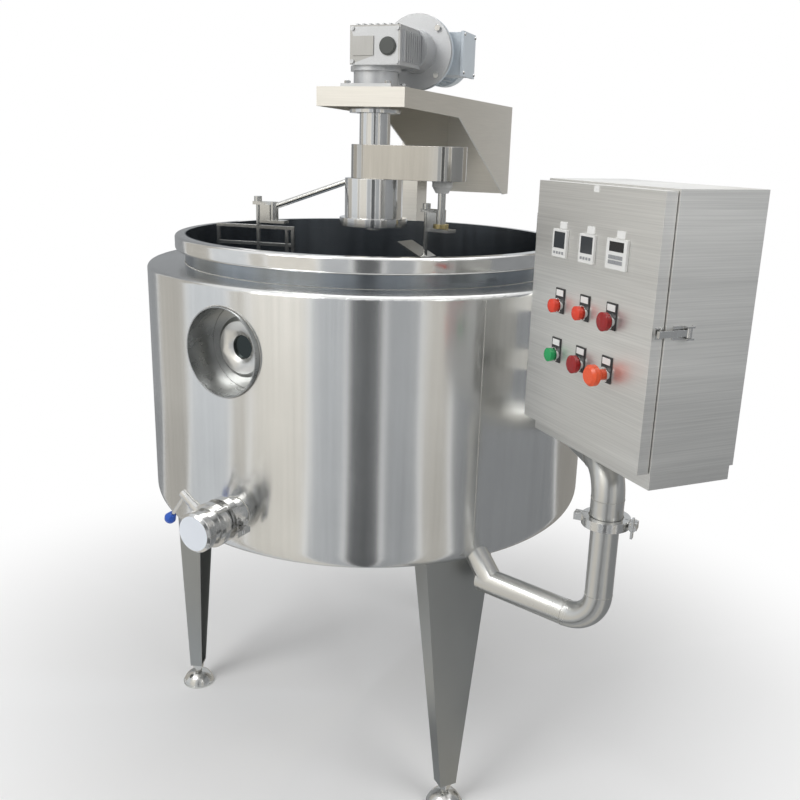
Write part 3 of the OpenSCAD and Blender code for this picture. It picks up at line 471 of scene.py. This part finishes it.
ring_silver = steel("ring silver", (0.80, 0.80, 0.79), rough=0.16, streak=(80, 80, 80), wander=0.04)
dress("display_cases", instrument_white, edge=0.0012)
window_grey = moulded("window grey", (0.05, 0.055, 0.06), rough=0.16, bump=0.0)
dress("display_windows", window_black, edge=0.0003, inlay=window_grey, inlay_test=on_meter)
dress("name_plates", plate_white, edge=0.0002)
dress("button_holders", holder_black, inlay=ring_silver, inlay_test=stands_off)


def key_blocks():
    tree, nodes, links, given = plan("key blocks", (
        ("Spots", "Geometry"), ("Key size", "Vector"), ("Finish", "Material")))
    key = nodes.new("GeometryNodeMeshCube")
    links.new(given.outputs["Key size"], key.inputs["Size"])
    return lay_out(tree, given, given.outputs["Spots"], key.outputs["Mesh"])


key_tree = key_blocks()
key_grey = moulded("key grey", (0.30, 0.31, 0.32), rough=0.5)
instrument_height = 1.503
instrument_row = instrument_height - door_middle.z
bezel_off = 0.006
meter_places, key_pitch, key_drop = (-0.101, -0.009), 0.0095, 0.018
small_keys = [(x + (k - 1.5) * key_pitch, instrument_row - key_drop, bezel_off)
              for x in meter_places for k in range(4)]
pad_place, pad_pitch, pad_drop, pad_row_pitch = 0.083, 0.0105, 0.005, 0.009
keypad = [(pad_place + (k - 1.5) * pad_pitch, instrument_row - pad_drop - row * pad_row_pitch, bezel_off)
          for row in range(2) for k in range(4)]
for name, spots, size in (("small_keys", small_keys, (0.0058, 0.0050, 0.0016)),
                          ("keypad", keypad, (0.0092, 0.0068, 0.0016))):
    grow(name, spots, [], key_tree, {"Key size": size, "Finish": key_grey}, "door",
         panel_face)
button_red = moulded("button red", (0.72, 0.05, 0.02), rough=0.25)
button_orange = moulded("button orange", (0.80, 0.10, 0.03), rough=0.28)
lamp_lens = moulded("lamp lens", (0.30, 0.01, 0.012), rough=0.12, bump=0.0)
button_leaf = moulded("button green", (0.01, 0.33, 0.10), rough=0.25)
for node, finish in (("button_red_1", button_red), ("button_red_2", button_red),
                     ("lamp_red", lamp_lens), ("button_green", button_leaf),
                     ("button_stop", lamp_lens), ("estop_button", button_orange)):
    dress(node, finish, edge=0.0002)

# The drive stands on a bracket of folded plate, carried by a square post with two arms to the jacket.
# A cast worm gearbox is bolted over the vat's axis, with a painted motor flanged on behind.
bracket_steel = steel("bracket steel", (0.83, 0.81, 0.76), rough=0.34, streak=(8, 8, 300), bump=0.03,
                      drift=(1, 1, 7))
for node in ("drive_post", "post_arms", "drive_bracket"):
    dress(node, bracket_steel, edge=0.001)
gear_casting = moulded("gear casting", (0.60, 0.61, 0.62), rough=0.42, tint=0.2, grain=500, bump=0.25)
gear_casting.node_tree.nodes["Principled BSDF"].inputs["Metallic"].default_value = 0.75
motor_paint = moulded("motor paint", (0.58, 0.64, 0.69), rough=0.38, tint=0.12, grain=300, bump=0.12)
cover_dark = moulded("cover dark", (0.07, 0.075, 0.07), rough=0.45)
bracket_turn = Matrix.Rotation(math.radians(74), 4, "Z")
plate_back, plate_left, plate_right = -0.0705, -0.023, 0.035


def on_plate(face):
    spot = bracket_turn.inverted() @ face.calc_center_median()
    return spot.x < plate_back and plate_left < spot.y < plate_right


plate_grey = steel("plate grey", (0.46, 0.46, 0.45), rough=0.35, streak=(300, 300, 20), wander=0.05)
dress("gearbox", gear_casting, edge=0.0012, inlay=plate_grey, inlay_test=on_plate)
dress("gearbox_cover", cover_dark, edge=0.0008)
for node in ("motor_body", "fan_cover", "terminal_box"):
    dress(node, motor_paint, edge=0.001)
dress("drive_bolts", fitting_steel, edge=0.0005)


def screw_heads():
    tree, nodes, links, given = plan("screw heads", (
        ("Spots", "Geometry"), ("Head radius", "Float"), ("Head height", "Float"), ("Finish", "Material")))
    head_taper = 0.75
    narrow = nodes.new("ShaderNodeMath")
    narrow.operation = "MULTIPLY"
    narrow.inputs[1].default_value = head_taper
    links.new(given.outputs["Head radius"], narrow.inputs[0])
    head = nodes.new("GeometryNodeMeshCone")
    head.inputs["Vertices"].default_value = 20
    links.new(given.outputs["Head radius"], head.inputs["Radius Bottom"])
    links.new(narrow.outputs[0], head.inputs["Radius Top"])
    links.new(given.outputs["Head height"], head.inputs["Depth"])
    return lay_out(tree, given, given.outputs["Spots"], head.outputs["Mesh"])


screw_tree = screw_heads()
lid_place = Matrix.Translation((0.244, -0.178, 1.921))
lid_middle = bracket_turn @ lid_place @ Matrix.Rotation(math.radians(90), 4, "X")
lid_half = 0.049
lid_corners = [(x, z, 0) for x in (-lid_half, lid_half) for z in (-lid_half, lid_half)]
grow("lid_screws", lid_corners, [], screw_tree,
     {"Head radius": 0.0045, "Head height": 0.003, "Finish": fitting_steel}, "vat", lid_middle)

# The stirring head turns under a fixed sleeve: a polished chain case of sheet and a round skirt.
# A rod carries the welded harp on one side, and a shaft with a white nut turns the stirrer on the other.
head_steel = steel("head steel", (0.80, 0.80, 0.79), rough=0.13, streak=(50, 50, 3), wander=0.05,
                   tint=0.1, anisotropy=0.6)
tool_steel = steel("tool steel", (0.66, 0.66, 0.64), rough=0.24, streak=(60, 60, 60))
# Painted reflection: the mirror-polished chain case is toned darker and warmer than the other polished steel, for
# the warm, dark reflections it shows.
case_steel_painted_reflection = steel("case steel painted reflection", (0.64, 0.625, 0.59), rough=0.12, streak=(50, 50, 3), wander=0.05,
                   tint=0.2, anisotropy=0.6)
dress("gear_case", case_steel_painted_reflection, edge=0.0008)
for node in ("sleeve", "head_skirt"):
    dress(node, head_steel, edge=0.0008)
for node in ("main_shaft", "case_floor", "rod_arm", "left_holder", "harp_frame", "planet_shaft",
             "right_holder", "stirrer"):
    dress(node, tool_steel)
dress("planet_nut", instrument_white, edge=0.001)


def washer(low, bore, radius, height, chamfer=0.0008):
    return [(bore, low), (radius - chamfer, low), (radius, low + chamfer), (radius, low + height - chamfer),
            (radius - chamfer, low + height), (bore, low + height)]


brass = steel("bush brass", (0.80, 0.66, 0.34), rough=0.25, streak=(80, 80, 200), wander=0.05)
planet_axis = Vector(next(j for j in frame["joints"] if j["name"] == "planet_spin")["pos_m"])
bush_rise = 0.009
bush_outline = washer(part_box("right_holder")[0].z + bush_rise, bore=0.0132, radius=0.021, height=0.012)
bush = lathe("holder_bush", planet_axis, bush_outline, brass, steps=64)
fasten(bush, "planet")
collar_low = 1.756
collar_outline = washer(collar_low, bore=0.0489, radius=0.068, height=0.010)
collar = lathe("sleeve_collar", Vector((0, 0)), collar_outline, head_steel)
fasten(collar, body_of_node["sleeve"])

# The studio is a pale floor under even light, which fades to the white of the background.
# Grey cards stand and lie round the vat, and only its metal mirrors them.
scene = bpy.context.scene
scene.view_settings.view_transform = "Standard"
sky = bpy.data.worlds.new("studio")
scene.world = sky
sky.use_nodes = True
sky_nodes, sky_links = sky.node_tree.nodes, sky.node_tree.links


def seen_share(nodes, links):
    rays = nodes.new("ShaderNodeLightPath")
    shiny = nodes.new("ShaderNodeMath")
    shiny.operation = "MAXIMUM"
    links.new(rays.outputs["Is Glossy Ray"], shiny.inputs[0])
    links.new(rays.outputs["Is Transmission Ray"], shiny.inputs[1])
    seen = nodes.new("ShaderNodeMath")
    seen.operation = "MAXIMUM"
    links.new(rays.outputs["Is Camera Ray"], seen.inputs[0])
    links.new(shiny.outputs[0], seen.inputs[1])
    return seen.outputs[0]


level = sky_nodes.new("ShaderNodeMapRange")
level.inputs["To Min"].default_value = 0.45
level.inputs["To Max"].default_value = 1.0
sky_links.new(seen_share(sky_nodes, sky_links), level.inputs["Value"])
sky_links.new(level.outputs["Result"], sky_nodes["Background"].inputs["Strength"])
sky_nodes["Background"].inputs["Color"].default_value = (1, 1, 1, 1)


def studio_sheet(name, corners, finish):
    mesh = bpy.data.meshes.new(name)
    mesh.from_pydata(corners, [], [tuple(range(len(corners)))])
    mesh.materials.append(finish)
    sheet = bpy.data.objects.new(name, mesh)
    scene.collection.objects.link(sheet)
    return sheet


floor_paint = bpy.data.materials.new("floor paint")
floor_paint.use_nodes = True
floor_nodes, floor_links = floor_paint.node_tree.nodes, floor_paint.node_tree.links
floor_nodes["Principled BSDF"].inputs["Base Color"].default_value = (0.86, 0.86, 0.86, 1)
floor_nodes["Principled BSDF"].inputs["Roughness"].default_value = 0.7
floor_place = floor_nodes.new("ShaderNodeTexCoord")
floor_way = floor_nodes.new("ShaderNodeVectorMath")
floor_way.operation = "LENGTH"
floor_links.new(floor_place.outputs["Object"], floor_way.inputs[0])
floor_fade = floor_nodes.new("ShaderNodeMapRange")
floor_fade.interpolation_type = "SMOOTHSTEP"
floor_fade.inputs["From Min"].default_value = 0.7
floor_fade.inputs["From Max"].default_value = 2.0
floor_links.new(floor_way.outputs["Value"], floor_fade.inputs["Value"])
floor_share = floor_nodes.new("ShaderNodeMath")
floor_share.operation = "MULTIPLY"
floor_links.new(floor_fade.outputs["Result"], floor_share.inputs[0])
floor_links.new(seen_share(floor_nodes, floor_links), floor_share.inputs[1])
floor_white = floor_nodes.new("ShaderNodeEmission")
floor_mix = floor_nodes.new("ShaderNodeMixShader")
floor_links.new(floor_share.outputs[0], floor_mix.inputs["Fac"])
floor_links.new(floor_nodes["Principled BSDF"].outputs["BSDF"], floor_mix.inputs[1])
floor_links.new(floor_white.outputs["Emission"], floor_mix.inputs[2])
floor_links.new(floor_mix.outputs["Shader"], floor_nodes["Material Output"].inputs["Surface"])
floor_reach = 40
studio_sheet("studio_floor", [(-floor_reach, -floor_reach, 0), (floor_reach, -floor_reach, 0),
                              (floor_reach, floor_reach, 0), (-floor_reach, floor_reach, 0)], floor_paint)
warm_grey = (1.0, 0.96, 0.88)
cool_grey = (0.94, 0.97, 1.0)


def mirrored_card(name, corners, level, shade):
    paint = bpy.data.materials.new(name)
    paint.use_nodes = True
    paint.node_tree.nodes.remove(paint.node_tree.nodes["Principled BSDF"])
    glow = paint.node_tree.nodes.new("ShaderNodeEmission")
    glow.inputs["Color"].default_value = (*(level * c for c in shade), 1)
    paint.node_tree.links.new(glow.outputs[0], paint.node_tree.nodes["Material Output"].inputs["Surface"])
    card = studio_sheet(name, corners, paint)
    card.visible_camera = False
    card.visible_diffuse = False
    card.visible_shadow = False
    card.visible_transmission = False


def grey_card(name, first, last, level, shade, radius=4.0, top=4.5):
    low, floor, floor_dim, step_turn = 0.01, 0.004, 0.85, 8
    steps = max(1, round((last - first) / step_turn))
    for k in range(steps):
        turns = [math.radians(first + (last - first) * (k + j) / steps) for j in (0, 1)]
        (ax, ay), (bx, by) = [(radius * math.cos(t), radius * math.sin(t)) for t in turns]
        standing = [(ax, ay, low), (bx, by, low), (bx, by, top), (ax, ay, top)]
        mirrored_card(f"{name}_{k}", standing, level, shade)
        lying = [(0, 0, floor), (ax, ay, floor), (bx, by, floor)]
        mirrored_card(f"{name}_low_{k}", lying, level * floor_dim, shade)


for name, first, last, level, shade in (
        ("card_left_pale", -178, -152, 0.80, cool_grey), ("card_left_mid", -150, -141, 0.68, warm_grey),
        ("card_left_wide", -139, -112, 0.86, warm_grey), ("card_mid_left", -110, -95, 0.60, cool_grey),
        ("card_dark_middle", -93, -79, 0.15, cool_grey), ("card_mid_right", -77, -62, 0.46, cool_grey),
        ("card_right_pale", -60, -48, 0.60, warm_grey), ("card_right", -46, 20, 0.32, cool_grey),
        ("card_right_back", 22, 62, 0.36, warm_grey), ("card_back", 64, 108, 0.62, cool_grey),
        ("card_far_left", 110, 150, 0.34, cool_grey), ("card_left_back", 152, 180, 0.55, warm_grey)):
    grey_card(name, first, last, level, shade)


def soft_lamp(name, place, aim, size, power):
    lamp_data = bpy.data.lights.new(name, "AREA")
    lamp_data.size = size
    lamp_data.energy = power
    lamp = bpy.data.objects.new(name, lamp_data)
    lamp.location = place
    lamp.rotation_mode = "QUATERNION"
    lamp.rotation_quaternion = (Vector(aim) - Vector(place)).to_track_quat("-Z", "Y")
    scene.collection.objects.link(lamp)


soft_lamp("key_lamp", place=(-2.6, -3.0, 4.2), aim=(0, 0, 1.1), size=2.4, power=115)
soft_lamp("fill_lamp", place=(3.4, -2.6, 3.2), aim=(0.3, -0.3, 1.2), size=2.4, power=60)
soft_lamp("top_lamp", place=(0.3, 1.2, 5.0), aim=(0, 0, 1.2), size=3.0, power=40)
